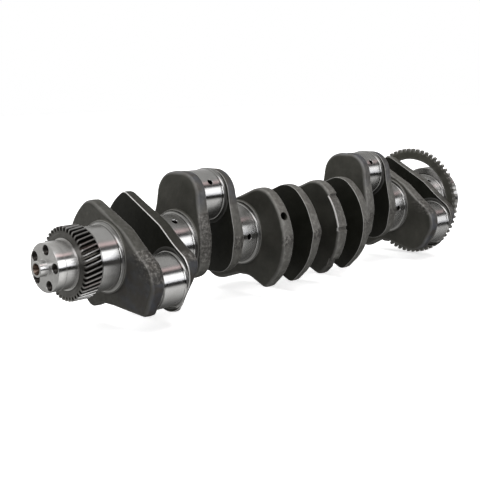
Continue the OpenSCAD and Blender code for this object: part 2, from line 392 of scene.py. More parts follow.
def ground_steel():
    """Journals and pins: ground round and polished, with fine marks round the shaft, fillets
    painted darker as painted shade, and painted shade in the oil holes."""
    p = Paint("ground_steel", 1.0)
    marks = p.grain(p.stretched((3600, 14, 14)), 1, 3, 0.6)
    haze = p.grain(p.place, 45, 4, 0.6)
    colour = p.ramp(haze, (0.3, (0.66, 0.652, 0.64)), (0.7, (0.74, 0.734, 0.725)))
    # Painted shade: the walls of the oil holes are painted near black
    drilled = p.ramp(p.grain(p.place, 500, 3, 0.6), (0.3, (0.020, 0.018, 0.016)),
                     (0.7, (0.05, 0.047, 0.042)))
    # Painted shade: the rolled fillets are painted darker to tone down their reflection
    painted_fillet_shade = p.ramp(haze, (0.3, (0.38, 0.375, 0.365)), (0.7, (0.46, 0.455, 0.445)))
    colour = p.mixed(p.mask("fillet"), colour, painted_fillet_shade)
    colour = p.mixed(p.mask("drilled"), colour, drilled)
    ground = p.ramp(marks, (0.25, 0.20), (0.75, 0.27))
    rolled = p.ramp(marks, (0.25, 0.12), (0.75, 0.17))
    polish = p.mixed(p.mask("fillet"), ground, rolled)
    p.brushed_round()
    return p.finish(colour, polish, p.bump(marks, 0.13, 0.06))


def machined_steel():
    """Nose and flange: turned and left satin, with rings of tool marks and painted shade in the
    holes.
    """
    p = Paint("machined_steel", 1.0)
    marks = p.grain(p.lathe(2300), 1, 3, 0.65)
    haze = p.grain(p.place, 60, 5, 0.6)
    colour = p.ramp(haze, (0.3, (0.62, 0.612, 0.60)), (0.7, (0.76, 0.75, 0.74)))
    wear_and_highlight = p.ramp(p.grain(p.place, 260, 4, 0.6), (0.3, (0.115, 0.080, 0.064)),
                  (0.7, (0.33, 0.25, 0.205)))
    # Painted shade: the walls of the tapped holes are painted near black
    drilled = p.ramp(p.grain(p.place, 500, 3, 0.6), (0.3, (0.030, 0.027, 0.024)),
                     (0.7, (0.08, 0.075, 0.068)))
    colour = p.mixed(p.mask("copper"), colour, wear_and_highlight)
    colour = p.mixed(p.mask("drilled"), colour, drilled)
    polish = p.ramp(marks, (0.25, 0.20), (0.75, 0.28))
    p.brushed_round()
    return p.finish(colour, polish, p.bump(marks, 0.13, 0.06))


def gear_steel():
    """The crank gear: hobbed, hardened and oiled, with painted shade on the flanks and in the
    gaps between the teeth.
    """
    p = Paint("gear_steel", 1.0)
    marks = p.grain(p.lathe(1800), 1, 3, 0.6)
    haze = p.grain(p.place, 85, 5, 0.6)
    body = p.ramp(haze, (0.3, (0.135, 0.131, 0.122)), (0.7, (0.19, 0.185, 0.175)))
    # Painted shade for the flanks and the gaps between the teeth
    gap = p.ramp(haze, (0.3, (0.050, 0.047, 0.041)), (0.7, (0.085, 0.080, 0.072)))
    bare = p.ramp(haze, (0.3, (0.46, 0.455, 0.44)), (0.7, (0.60, 0.59, 0.575)))
    colour = p.mixed(p.mask("gap"), body, gap)
    colour = p.mixed(p.mask("edge"), colour, bare)
    polish = p.ramp(p.grain(p.place, 300, 3, 0.6), (0.3, 0.26), (0.7, 0.40))
    return p.finish(colour, polish, p.bump(marks, 0.16, 0.06))


def tone_steel():
    """The tone wheel: dull pressed steel, with bare metal on the tips of its teeth."""
    p = Paint("tone_wheel_steel", 0.55)
    cloud = p.grain(p.place, 70, 5, 0.6)
    speck = p.grain(p.place, 900, 3, 0.6)
    dull = p.ramp(cloud, (0.3, (0.070, 0.069, 0.056)), (0.7, (0.115, 0.113, 0.096)))
    bare = p.ramp(speck, (0.3, (0.20, 0.195, 0.18)), (0.7, (0.36, 0.35, 0.33)))
    colour = p.mixed(p.mask("edge"), dull, bare)
    polish = p.ramp(cloud, (0.3, 0.42), (0.7, 0.58))
    return p.finish(colour, polish, p.bump(speck, 0.25, 0.12))


def bright_steel():
    """Screws, dowel and key: bright hardware with fine scratches."""
    p = Paint("bright_steel", 1.0)
    scratch = p.grain(p.stretched((900, 4200, 900)), 1, 3, 0.6)
    colour = p.ramp(p.grain(p.place, 300, 3, 0.5), (0.3, (0.38, 0.38, 0.37)),
                    (0.7, (0.50, 0.50, 0.49)))
    polish = p.ramp(scratch, (0.3, 0.20), (0.7, 0.36))
    return p.finish(colour, polish, p.bump(scratch, 0.10, 0.03))


def floor_paint():
    p = Paint("floor_paint", 0.0)
    p.shade({"Emission Color": (1, 1, 1, 1), "Emission Strength": 0.62})
    cloud = p.grain(p.place, 2.5, 3, 0.5)
    colour = p.ramp(cloud, (0.3, (0.83, 0.83, 0.83)), (0.7, (0.86, 0.86, 0.86)))
    polish = p.ramp(cloud, (0.3, 0.80), (0.7, 0.88))
    return p.finish(colour, polish, p.bump(p.grain(p.place, 900, 2, 0.5), 0.05, 0.2))


FORGED = forged_steel()
GROUND = ground_steel()
MACHINED = machined_steel()
GEAR = gear_steel()
TONE = tone_steel()
BRIGHT = bright_steel()


# ---- Camera, floor and light ----

def add_camera():
    """The camera at the photograph's viewing angle."""
    data = bpy.data.cameras.new("camera")
    data.sensor_width = 36
    data.lens = 66.38
    data.clip_start = 0.05
    data.clip_end = 50
    camera = add_object("camera", data)
    azimuth, elevation = math.radians(-45.04), math.radians(9.77)
    back = Vector((math.sin(azimuth) * math.cos(elevation),
                   -math.cos(azimuth) * math.cos(elevation), math.sin(elevation)))
    roll = Quaternion((0, 0, 1), math.radians(-1.3))
    camera.rotation_mode = "QUATERNION"
    camera.rotation_quaternion = (-back).to_track_quat("-Z", "Y") @ roll
    camera.location = (-0.9915, -0.8926, 0.2057)
    bpy.context.scene.camera = camera


def add_floor():
    """A pale floor that lights nothing and shows in no reflection."""
    half = 9.0
    low = cad_box[0].z - 0.5 * MM
    mesh = bpy.data.meshes.new("floor")
    mesh.from_pydata([(-half, -half, low), (half, -half, low), (half, half, low),
                      (-half, half, low)], [], [(0, 1, 2, 3)])
    mesh.materials.append(floor_paint())
    floor = add_object("floor", mesh)
    floor.visible_glossy = False
    floor.visible_diffuse = False


# What stands round the shaft, by the angle round it. Behind the flange: a white
# background, a grey ceiling, a bright strip light between two dark gaps, a softer light
# low in front, and a dark floor.
REAR_GAIN = 1.38
REAR_LIGHT = (
    (-180, 0.10), (-178, 0.007), (-165, 0.007), (-161, (0.85, 0.85, 0.84)),
    (-154, (1.05, 1.05, 1.04)), (-140, (0.92, 0.92, 0.91)), (-120, (0.62, 0.62, 0.61)),
    (-100, (0.34, 0.34, 0.33)), (-85, 0.17), (-60, (0.072, 0.072, 0.065)), (-22, 0.10),
    (-12, 0.85), (24, 0.85), (42, (0.52, 0.52, 0.51)), (100, (0.50, 0.50, 0.49)),
    (114, (0.36, 0.36, 0.35)), (126, (0.95, 0.72, 0.72)), (131, (0.60, 0.45, 0.44)),
    (134, 0.022), (145, 0.022), (149, (1.4, 1.4, 1.41)), (153, (2.5, 2.51, 2.54)),
    (170, (2.4, 2.43, 2.5)), (176, (1.6, 1.62, 1.7)),
)
# Towards the nose: a softbox high in front, and pale grey below and behind.
FRONT_LIGHT = (
    (-180, 0.14), (-150, 0.16), (-115, (0.28, 0.28, 0.275)), (-80, (0.34, 0.34, 0.335)),
    (-45, (0.42, 0.42, 0.41)), (-12, (0.46, 0.46, 0.45)), (24, (0.50, 0.50, 0.49)),
    (60, (0.45, 0.45, 0.44)), (98, 0.38), (108, (1.5, 1.5, 1.52)), (130, (2.0, 2.0, 2.02)),
    (144, (0.8, 0.8, 0.81)), (156, 0.25),
)


def round_shaft(nodes, angle, lights, gain=1):
    """What comes from an angle in radians, out of a list of lights (degrees, colour)."""
    share = nodes.made("ShaderNodeMath", {0: angle, 1: 0.5 / math.pi, 2: 0.5},
                       operation="MULTIPLY_ADD")
    stops = [(degrees / 360 + 0.5, light) for degrees, light in lights]
    return nodes.ramp(share, *stops, gain=gain)


def add_world():
    """Light from all round the shaft, which the camera sees as a plain white background."""
    world = bpy.data.worlds.new("studio")
    world.use_nodes = True
    bpy.context.scene.world = world
    nodes = Nodes(world.node_tree)
    x, y, z = nodes.split(nodes.made("ShaderNodeTexCoord", {}, "Generated"))
    angle = nodes.made("ShaderNodeMath", {0: z, 1: y}, operation="ARCTAN2")
    front = round_shaft(nodes, angle, FRONT_LIGHT)
    rear = round_shaft(nodes, angle, REAR_LIGHT, REAR_GAIN)
    # It is dimmer straight beyond the flange
    beyond = {"Value": x, "From Min": 0.2, "From Max": 0.86, "To Max": 0.82}
    rear = nodes.mixed(nodes.made("ShaderNodeMapRange", beyond, "Result"), rear,
                       (0, 0, 0, 1))
    ahead = {"Value": x, "From Min": -0.35, "From Max": 0.15}
    around = nodes.mixed(nodes.made("ShaderNodeMapRange", ahead, "Result"), front, rear)
    seen = nodes.made("ShaderNodeLightPath", {}, "Is Camera Ray")
    nodes.link(nodes.mixed(seen, around, (1, 1, 1, 1)),
               world.node_tree.nodes["Background"].inputs["Color"])


def add_lamp(name, kind, energy):
    """A light that shows in no reflection."""
    data = bpy.data.lights.new(name, kind)
    data.energy = energy
    lamp = add_object(name, data)
    lamp.visible_glossy = False
    return lamp


def add_studio():
    add_world()
    overhead = add_lamp("overhead", "AREA", 46)
    overhead.data.shape = "RECTANGLE"
    overhead.data.size = 3.0
    overhead.data.size_y = 2.4
    overhead.location = (-0.3, -0.2, 2.2)
    overhead.rotation_mode = "QUATERNION"
    overhead.rotation_quaternion = (-overhead.location).to_track_quat("-Z", "Y")
    skylight = add_lamp("skylight", "SUN", 1.05)
    skylight.data.angle = math.radians(60)
    bpy.context.scene.view_settings.view_transform = "Standard"


# ---- Journals and pins ----

def journal_profile(x0, x1, radius):
    """A ground band between two rolled fillets, each set off by a fine step."""
    arc = [(FILLET_R * (1 - math.cos(t)), FILLET_R * (1 - math.sin(t)))
           for t in np.radians(np.arange(0, 91, 9))]
    start = [(x0 + dx, radius - RELIEF + dr * (1 + RELIEF / FILLET_R)) for dx, dr in arc]
    start += [(x0 + FILLET_R + 0.7, radius - RELIEF), (x0 + FILLET_R + 0.95, radius)]
    middle = [(x, radius) for x in np.linspace(x0 + FILLET_R + 1.6, x1 - FILLET_R - 1.6, 12)]
    end = [(x0 + x1 - x, r) for x, r in reversed(start)]
    return start + middle + end


def oil_hole(x, centre, radius, degrees):
    """The cutter of an oil hole with a polished lead-in, from the middle of its journal."""
    direction = (0, *polar(1, degrees))
    surface = radius - 0.05
    lead = 1.5
    profile = [(6, AXIS), (6, OIL_HOLE_R), (surface - lead, OIL_HOLE_R),
               (surface - 0.6, OIL_HOLE_R + 0.35), (surface, OIL_HOLE_R + 1.0),
               (surface + 1.5, OIL_HOLE_R + 2.8), (surface + 1.5, AXIS)]
    verts, faces = turned(profile, 48)
    return aimed(verts, (x, *centre), direction), faces


def mark_journal(obj, ends, radius, centre):
    """Marks the two fillets, rolled smoother and painted darker as shade, and the wall of the
    oil hole from just inside its lead-in, painted dark as shade.
    """
    x = sum(ends) / 2

    def inside(points):
        depth = radius - np.linalg.norm(points[:, 1:] - centre, axis=1)
        return (depth > 0.5) & (abs(points[:, 0] - x) < OIL_HOLE_R + 2)

    def in_fillet(points):
        to_end = np.minimum(points[:, 0] - ends[0], ends[1] - points[:, 0])
        return to_end < FILLET_R + 1.0

    # The oil hole's wall is painted dark as shade
    set_mask(obj, "drilled", inside)
    set_mask(obj, "fillet", in_fillet)


def add_journal(name, verts, faces, ends, radius, centre, oil_angle):
    """A journal or pin from its turned shape, with its oil hole cut."""
    obj = piece(f"ground_{name}", verts, faces, GROUND, "ground_steel", [name])
    cut(obj, [oil_hole(sum(ends) / 2, centre, radius, oil_angle)])
    mark_journal(obj, ends, radius, centre)
    true_round(obj, radius, centre)


def add_main(i):
    name = f"main_journal_{i + 1}"
    low, high = node_box(name)
    ends = (low[0], high[0])
    verts, faces = turned(journal_profile(*ends, MAIN_R))
    add_journal(name, verts, faces, ends, MAIN_R, (0, 0), MAIN_OIL_ANGLES[i])


def add_pin(i):
    name = f"crankpin_{i + 1}"
    low, high = node_box(name)
    ends = (low[0], high[0])
    centre = MOUNTS[name][1:]
    verts, faces = turned(journal_profile(*ends, PIN_R), 168, centre)
    # The fillets stop at the head of the web
    spoke = verts[:, 1:] - centre
    length = np.linalg.norm(spoke, axis=1)
    turn = np.arctan2(spoke[:, 1], spoke[:, 0]) - math.radians(PIN_ANGLES[i] - 90)
    limit = np.maximum(reach(plain_outline(), (0, THROW), turn) - 0.8, PIN_R - RELIEF)
    shrink = np.minimum(length, limit) / length
    verts[:, 1:] = centre + spoke * shrink[:, None]
    add_journal(name, verts, faces, ends, PIN_R, centre, PIN_ANGLES[i] + PIN_OIL_TURN)


# ---- Webs ----

def corner(a, b, c, radius):
    """The arc that rounds corner b of the path a, b, c."""
    u, v = unit(b - a), unit(c - b)
    sweep = math.atan2(u[0] * v[1] - u[1] * v[0], u @ v)
    start = b - u * radius * math.tan(abs(sweep) / 2)
    centre = start + math.copysign(radius, sweep) * np.array([-u[1], u[0]])
    first = math.degrees(math.atan2(*(start - centre)[::-1]))
    steps = max(1, math.ceil(math.degrees(abs(sweep)) / 2))
    return [centre + polar(radius, first + math.degrees(sweep) * k / steps)
            for k in range(steps + 1)]


def rounded(points):
    """A closed outline through corners (x, y, radius)."""
    xy = [np.array(p[:2], float) for p in points]
    count = len(points)
    return np.array([q for i in range(count) for q in
                     corner(xy[i - 1], xy[i], xy[(i + 1) % count], points[i][2])])


def evenly(outline):
    """The outline as evenly spaced points, and its outward normals."""
    ring = np.vstack([outline, outline[:1]])
    along = np.concatenate([[0], np.cumsum(np.linalg.norm(np.diff(ring, axis=0), axis=1))])
    count = int(along[-1] / SPACING)
    at = np.arange(count) * along[-1] / count
    points = np.stack([np.interp(at, along, ring[:, k]) for k in (0, 1)], 1)
    run = np.roll(points, -1, 0) - np.roll(points, 1, 0)
    run /= np.linalg.norm(run, axis=1)[:, None]
    out = np.stack([run[:, 1], -run[:, 0]], 1)
    if (out * points).sum() < 0:
        out = -out
    return points, out


def reach(outline, centre, angles):
    """How far the outline is from a centre inside it, along each angle in radians."""
    spokes = outline - np.array(centre)
    turn = np.arctan2(spokes[:, 1], spokes[:, 0])
    order = np.argsort(turn)
    return np.interp(angles, turn[order], np.linalg.norm(spokes, axis=1)[order],
                     period=2 * math.pi)


def flank(side):
    """One side of a web, from the top of its head down to the shaft."""
    return [(side * HEAD_HALF_W, HEAD_TOP, HEAD_ROUND), (side * (HEAD_HALF_W + 6), 50, 60),
            (side * 50.5, 14, 50)]


def plain_outline():
    return rounded(flank(1)[::-1] + flank(-1) + [(-43, -47, 32), (43, -47, 32)])


def weighted_outline(radius, centre, first, left_x, left_round, head_corner):
    """A web with a counterweight that spreads from the lower left round to the right. Its
    rim is an arc about centre from the angle first, and starts from a left side at left_x."""
    last, run, parts = -14, 22, 3
    centre = np.array(centre)
    start = centre + polar(radius, first)
    end = centre + polar(radius, last) + polar(run, last + 90)
    half = (last - first) / parts / 2
    left_y = start[1] - (left_x - start[0]) / math.tan(math.radians(first))
    rim = [(*(centre + polar(radius / math.cos(math.radians(half)),
                             first + (2 * k + 1) * half)), radius) for k in range(parts)]
    return rounded([head_corner] + flank(-1) + [(left_x, left_y, left_round)] + rim
                   + [(*end, 12), (61, 19, 30), (50.5, 38, 30)])


FULL_HEAD = (HEAD_HALF_W, HEAD_TOP, HEAD_ROUND)
# Where the flash was trimmed off each rim: (lowest z, highest z, how far it stands out)
FLASH = {0: (-22, 12, 2.0), 2: (-20, 42, 1.3), 3: (-12, 4, 0.8), 4: (-11, 2, 0.7),
         5: (-9, 3, 0.8), 10: (-7, 14, 1.1)}
# How light each rim is, where it isn't 1, and how much darker some webs are painted:
# (on the rim, on the face)
RIM_LIGHT = {0: 0.4, 1: 0.15, 2: 0.8, 3: 0.7}
WEB_DARKENING = {0: (0.75, 0), 1: (1, 0), 4: (0, 0.25), 6: (0, 0.6), 7: (0, 0.4), 11: (0, 0.3)}
# How far each rim peaks along the parting plane, where it isn't 1.1
PEAK = {5: 2.4, 6: 1.8, 7: 0.4}
# Webs 1, 2, 11 and 12 have counterweights of their own, which spread to the other side,
# and webs 5 to 8 share one
END_OUTLINES = {
    0: weighted_outline(79, (0, 0), -112, -46, 24, (23, HEAD_TOP, 9)),
    1: weighted_outline(82, (0, 0), -117, -50, 14, FULL_HEAD),
    10: weighted_outline(88, (0, 0), -117, -50, 14, FULL_HEAD),
    11: weighted_outline(88, (0, 0), -117, -50, 14, FULL_HEAD),
}
MID_OUTLINE = weighted_outline(82, (6.5, -2.5), -106, -40, 34, FULL_HEAD)

# Balancing cuts in the rim of a web: (first angle, last angle, depth at each)
BALANCE_CUTS = {6: ((145.5, 180, 3.0, 0.9), (180, 183.5, 2.4, 2.4), (216, 226, 5.2, 1.0))}
# Webs, counted from 0, with flash smeared over the face, with a bevelled head, with a face
# as light as the rim as painted light, with a bare edge on the pin side brightened as a
# painted highlight, with painted shade underneath, and with a hole for balance in the rim
SMEARED_WEBS = (0, 10)
BEVELLED_WEBS = (1, 11)
LIT_FACE_WEB = 0
HIGHLIT_EDGE_WEB = 1
UNDERSIDE_SHADE_WEB = 6
DRILLED_WEB = 4
# The tone wheel sits on the last web
TONE_WHEEL_WEB = 11


class Web:
    """One web: its outline on the shaft, the heights of its faces, and the loops of points
    that run over it from the pin side, round the rim and in to the main journal's seat.

    Its masks say where the material shows the forged rim (on the first web's face as painted
    light), trimmed flash, the bluish tint near the pin, bare metal on an edge (with painted
    highlights), and black: a darker colour on some webs, and painted shade on the pin side and
    underneath."""

    def __init__(self, i):
        self.i = i
        low, high = node_box(f"web_{i + 1}")
        self.main_side = -1 if i % 2 == 0 else 1
        self.pin_x = high[0] if self.main_side < 0 else low[0]
        points, out = evenly(END_OUTLINES.get(i, MID_OUTLINE if 4 <= i <= 7
                                              else plain_outline()))
        if i in END_OUTLINES:
            points, out = points * [-1, 1], out * [-1, 1]
        self.points, self.out = points, out
        turn = math.radians(PIN_ANGLES[i // 2] - 90)
        self.turn = np.array([[math.cos(turn), math.sin(turn)],
                              [-math.sin(turn), math.cos(turn)]])
        self.loops = []
        self.masks = {name: [] for name in ("rim", "trim", "tint", "edge", "dark")}
        self.set_outline()
        self.set_rounding()
        self.set_tones()

    def on_shaft(self, local, height):
        """Local outline points at heights above the pin-side face, in the shaft's axes.
        Rough spots are trimmed to the size of the whole shaft."""
        low, high = (np.array(end)[1:] / MM for end in cad_box)
        yz = np.clip(local @ self.turn, low, high)
        return np.column_stack([self.pin_x + self.main_side * height, yz])

    def z_of(self, local):
        return (local @ self.turn)[:, 1]

    def inside(self, by):
        """The outline moved inwards by a number, or by one for each point."""
        return self.outline - self.out * np.reshape(by, (-1, 1))

    def face_height(self, local):
        """Height of the forged face: it falls away from the parting plane through the
        shaft, and down a bevel on some heads."""
        z = self.z_of(local)
        height = WEB_T - SEAT_STEP - (np.sqrt(z * z + 9) - 3) * DRAFT
        if self.i in BEVELLED_WEBS:
            past = local[:, 1] - BEVEL_EDGE
            height -= (past + np.sqrt(past * past + 4)) / 2 * BEVEL_SLOPE
        return np.maximum(height, 3.2)

    def cuts(self, local):
        """How far the balancing cuts go into the rim at each point."""
        yz = local @ self.turn
        angle = np.degrees(np.arctan2(yz[:, 1], yz[:, 0])) % 360
        depth = np.zeros(len(local))
        for first, last, deep, shallow in BALANCE_CUTS.get(self.i, ()):
            share = np.clip((angle - first) / (last - first), 0, 1)
            inside = (angle > first) & (angle < last)
            depth = np.maximum(depth, inside * (deep + (shallow - deep) * share))
        return depth

    def flash_at(self, local):
        """How far the roughly trimmed flash stands out of the rim at each point."""
        z = self.z_of(local)
        low, high, out = FLASH.get(self.i, (-5, 4, 0.6))
        return out * smoothstep(low - 3, low + 2, z) * (1 - smoothstep(high - 1, high + 3, z))

    def parting(self, local):
        """The shallow peak of the rim along the parting plane, from the draft of the dies."""
        return PEAK.get(self.i, 1.1) * np.clip(1 - abs(self.z_of(local)) / 18, 0, 1)

    def set_outline(self):
        """Peaks the rim, takes the balancing cuts out of it and finds its flash."""
        depth = self.cuts(self.points)
        self.milled = depth > 0.3
        # The long cut on the side left a bright slanted edge
        self.slanted = self.milled & (self.z_of(self.points) > -12)
        self.outline = self.points + self.out * (self.parting(self.points) - depth)[:, None]
        self.flash = np.where(self.milled, 0, self.flash_at(self.outline))
        self.scar = np.clip(self.flash * 1.6, 0, 1)

    def set_rounding(self):
        """Rounds the edge of the forged face, less where it is near the seat or thin."""
        gap = np.linalg.norm(self.outline, axis=1) - SEAT_R
        edge_r = np.minimum(EDGE_ROUND * (1 - 0.5 * self.scar), 0.6 * gap)
        edge_r = np.minimum(soften(edge_r), 0.6 * gap)
        edge_r = np.where(self.milled, np.where(self.slanted, 2.2, 1.0), edge_r)
        self.edge_r = np.minimum(edge_r, 0.55 * self.face_height(self.inside(edge_r)))
        self.inner = self.inside(self.edge_r)
        self.top = self.face_height(self.inner)
        self.side = self.top - self.edge_r
        far = np.linalg.norm(self.inner, axis=1)
        self.past_seat = far - SEAT_R
        # From the shaft towards each point, and how far along that the face ends
        self.aim = self.inner / far[:, None]
        self.face_end = np.minimum(SEAT_R + 1.2, SEAT_R + 0.5 * self.past_seat)

    def set_tones(self):
        """How the colour of this web differs from the others', its painted shade and highlights
        included.
        """
        self.to_pin = self.outline - (0, THROW)
        self.pin_far = np.linalg.norm(self.to_pin, axis=1)
        self.near_pin = smoothstep(12, -2, self.pin_far - 38)
        self.dark_rim, self.dark_face = WEB_DARKENING.get(self.i, (0, 0))
        self.light = RIM_LIGHT.get(self.i, 1.0)
        if self.i == UNDERSIDE_SHADE_WEB:
            # Painted shade: the underside is painted black and its rim darker, from the last
            # cut on
            under = smoothstep(-46, -50, self.z_of(self.points))
            self.dark_rim = 0.9 * under
            self.light = self.light - 0.7 * under
        highlit_edge = self.i == HIGHLIT_EDGE_WEB
        # The bare pin-side chamfer is brightened as a painted highlight, most on the second web
        self.chamfer, self.bright = (0.8, 1.0) if highlit_edge else (0.5, 0.4)

    def add(self, local, height, rim=0.0, edge=0.0, trim=0.0, dark=0.0):
        """One more loop of points, with what the material needs to know about them."""
        local = np.asarray(local, float)
        flat = np.zeros(len(local))
        self.loops.append(self.on_shaft(local, flat + height))
        trimmed = np.maximum(trim * self.scar * 0.85, rim * self.milled * 0.4)
        self.masks["rim"].append(flat + rim * self.light)
        self.masks["trim"].append(flat + trimmed)
        self.masks["tint"].append(flat + rim * 0.85 * self.near_pin)
        self.masks["edge"].append(flat + edge)
        # Painted shade: the pin-side face and its pad, at height 0 and below, are painted black
        # for the shade between neighbouring webs
        self.masks["dark"].append(np.where(flat + height <= 0, 1.0, dark))

    def add_pin_side(self):
        """The flat pin-side face, with a low round pad for the rod and a broken edge."""
        pad = np.minimum(PAD_R, self.pin_far - 3.6)
        aim = self.to_pin / self.pin_far[:, None]
        self.add((0, THROW) + aim * (pad - 6)[:, None], -PAD_STEP)
        self.add((0, THROW) + aim * (pad - 0.5)[:, None], -PAD_STEP, edge=0.12)
        self.add((0, THROW) + aim * pad[:, None], 0)
        self.add(self.inside(3.0), 0)
        self.add(self.inside(self.chamfer + 0.1), 0)
        self.add(self.inside(self.chamfer), 0.02, edge=self.bright)
        self.add(self.outline, self.chamfer, rim=0.4, edge=self.bright)

    def add_rim(self):
        """The rim swells a little, carries the trimmed flash, and is as rough as forged."""
        for share in (0.03, 0.16, 0.3, 0.44, 0.58, 0.72, 0.86, 1.0):
            height = self.chamfer + (self.side - self.chamfer) * share
            placed = self.on_shaft(self.outline, height)
            push = 0.3 * math.sin(math.pi * share) + 0.26 * rough(placed, 24, self.i)
            push += 0.12 * rough(placed, 5, self.i + 20)
            push = np.where(self.milled, 0.2 * push, push) * min(1, 4 * share)
            torn = 1 + 0.8 * rough(placed, 5, self.i + 40)
            torn += 0.7 * rough(placed, 2.6, self.i + 50)
            arch = math.sin(math.pi * min(1, share + 0.12)) ** 0.4 if share < 0.88 else 0.25
            push += self.flash * torn * arch * min(1, 8 * share)
            self.add(self.outline + self.out * push[:, None], height, rim=1.0, trim=1.0,
                     dark=self.dark_rim)

    def add_rounding(self):
        """The rounded edge between the rim and the forged face."""
        for t in np.radians((15, 30, 45, 60, 75, 90)):
            local = self.inside(self.edge_r * (1 - math.cos(t)))
            placed = self.on_shaft(local, self.top)
            height = self.side + (self.top - self.side) * math.sin(t)
            height += 0.10 * rough(placed, 9, self.i + 60)
            height += self.scar * 0.35 * rough(placed, 4, self.i + 70)
            # Painted highlight: a light line of bare colour along the middle of the rounded
            # edge, stronger on the milled slant
            wear_and_highlight = (0.08 + 0.5 * self.slanted) * math.sin(2 * t)
            dark = self.dark_rim + (self.dark_face - self.dark_rim) * math.sin(t) ** 2
            self.add(local, height, rim=max(0.0, math.cos(t)) ** 1.4, edge=wear_and_highlight, trim=0.9,
                     dark=dark)

    def add_face(self):
        """The forged face, which runs in to the seat. Flash is smeared over it on some."""
        smeared = self.i in SMEARED_WEBS
        lit_face = self.i == LIT_FACE_WEB
        end = self.aim * self.face_end[:, None]
        for share in (0.04, 0.1, 0.2, 0.32, 0.45, 0.6, 0.75, 0.88, 1.0):
            local = self.inner + (end - self.inner) * share
            height = self.face_height(local)
            placed = self.on_shaft(local, height)
            height = height + 0.16 * rough(placed, 16, self.i + 80)
            if smeared:
                spread = self.scar * (1 - smoothstep(0.0, 0.9, share))
                spread = spread * smoothstep(2, 10, self.past_seat)
                streaks = rough(placed * (1, 0.4, 1), 3.2, self.i + 90)
                height = height + spread * (0.4 + 1.5 * streaks)
            # Painted light: the first web's face takes the rim's lighter colour, as nothing in
            # front of it shades it
            self.add(local, height, rim=0.8 * lit_face,
                     trim=0.8 * (1 - share) ** 2 * smeared, dark=self.dark_face)

    def add_seat(self):
        """The turned seat of the main journal, which stands a little above the face."""
        aim = self.aim
        foot = self.face_height(aim * self.face_end[:, None])
        self.add(aim * (SEAT_R + 0.35), foot + (WEB_T - foot) * 0.45)
        self.add(aim * SEAT_R, WEB_T - 0.4, edge=0.12)
        self.add(aim * (SEAT_R - 0.4), WEB_T, edge=0.3)
        self.add(aim * (SEAT_R - 1.0), WEB_T, edge=0.08)
        self.add(aim * (SEAT_R - 3.5), WEB_T, edge=0.08)


def soften(values, spread=9):
    """A running mean round a closed loop, over spread points each way."""
    return np.mean([np.roll(values, k) for k in range(-spread, spread + 1)], axis=0)


def add_web(i):
    """A web with its faces, and the hole or the tone wheel's seat that it carries."""
    web = Web(i)
    web.add_pin_side()
    web.add_rim()
    web.add_rounding()
    web.add_face()
    web.add_seat()
    verts, faces = loft(web.loops)
    masks = {name: np.concatenate(values) for name, values in web.masks.items()}
    sharp = 38
    obj = piece(f"forged_web_{i + 1}", verts, faces, FORGED, "forged_steel",
                [f"web_{i + 1}"], sharp, masks)
    if i == DRILLED_WEB:
        cut(obj, [balance_hole(web)], sharp)
    if i == TONE_WHEEL_WEB:
        cut(obj, [tone_seat()], sharp)


def balance_hole(web):
    """A hole in the rim with a drill's 118 degree point."""
    x = web.pin_x + web.main_side * WEB_T / 2
    radius, rim, deep, angle = 5.75, 84, 26, 160
    profile = [(rim - deep, AXIS), (rim - deep + 3.4, radius), (rim - 3, radius),
               (rim + 4, radius), (rim + 4, AXIS)]
    verts, faces = turned(profile, 48)
    return aimed(verts, (x, 0, 0), (0, *polar(1, angle))), faces


def tone_seat():
    """The turned step on web 12 that the tone wheel sits on."""
    low, high = node_box("tone_wheel")
    x0, x1, outside = low[0], high[0] + 6, 130
    profile = ((x0, TONE_BORE), (x0, outside), (x1, outside), (x1, TONE_BORE))
    return loft([ring(x, r, full_turn(192)) for x, r in profile], cyclic=True)


# ---- Nose, gear, tone wheel and flange ----

# Radius of the tapping drill, radius of the thread, and pitch
M12 = (5.25, 6.0, 1.75)


def tapped_hole(x, direction, y, z, drill, thread, pitch, depth, mouth):
    """A tapped hole that goes in along direction, 1 or -1 along X, with a few real
    threads."""
    profile = [(-1.0, AXIS), (-1.0, mouth + 1.0), (mouth - thread, thread)]
    at = mouth - thread
    while at + pitch < min(depth - 2, 22):
        profile += [(at + 0.45 * pitch, drill), (at + 0.95 * pitch, thread - 0.05)]
        at += pitch
    profile += [(at + 0.5 * pitch, drill), (depth, drill), (depth + drill * 0.6, AXIS)]
    verts, faces = turned(profile, 40)
    return aimed(verts, (x, y, z), (direction, HAIR, 0)), faces


def near_any(points, spots, radius):
    """Whether each point is within radius of one of the axes at spots (y, z)."""
    away = [np.hypot(points[:, 1] - y, points[:, 2] - z) for y, z in spots]
    return np.min(away, axis=0) < radius


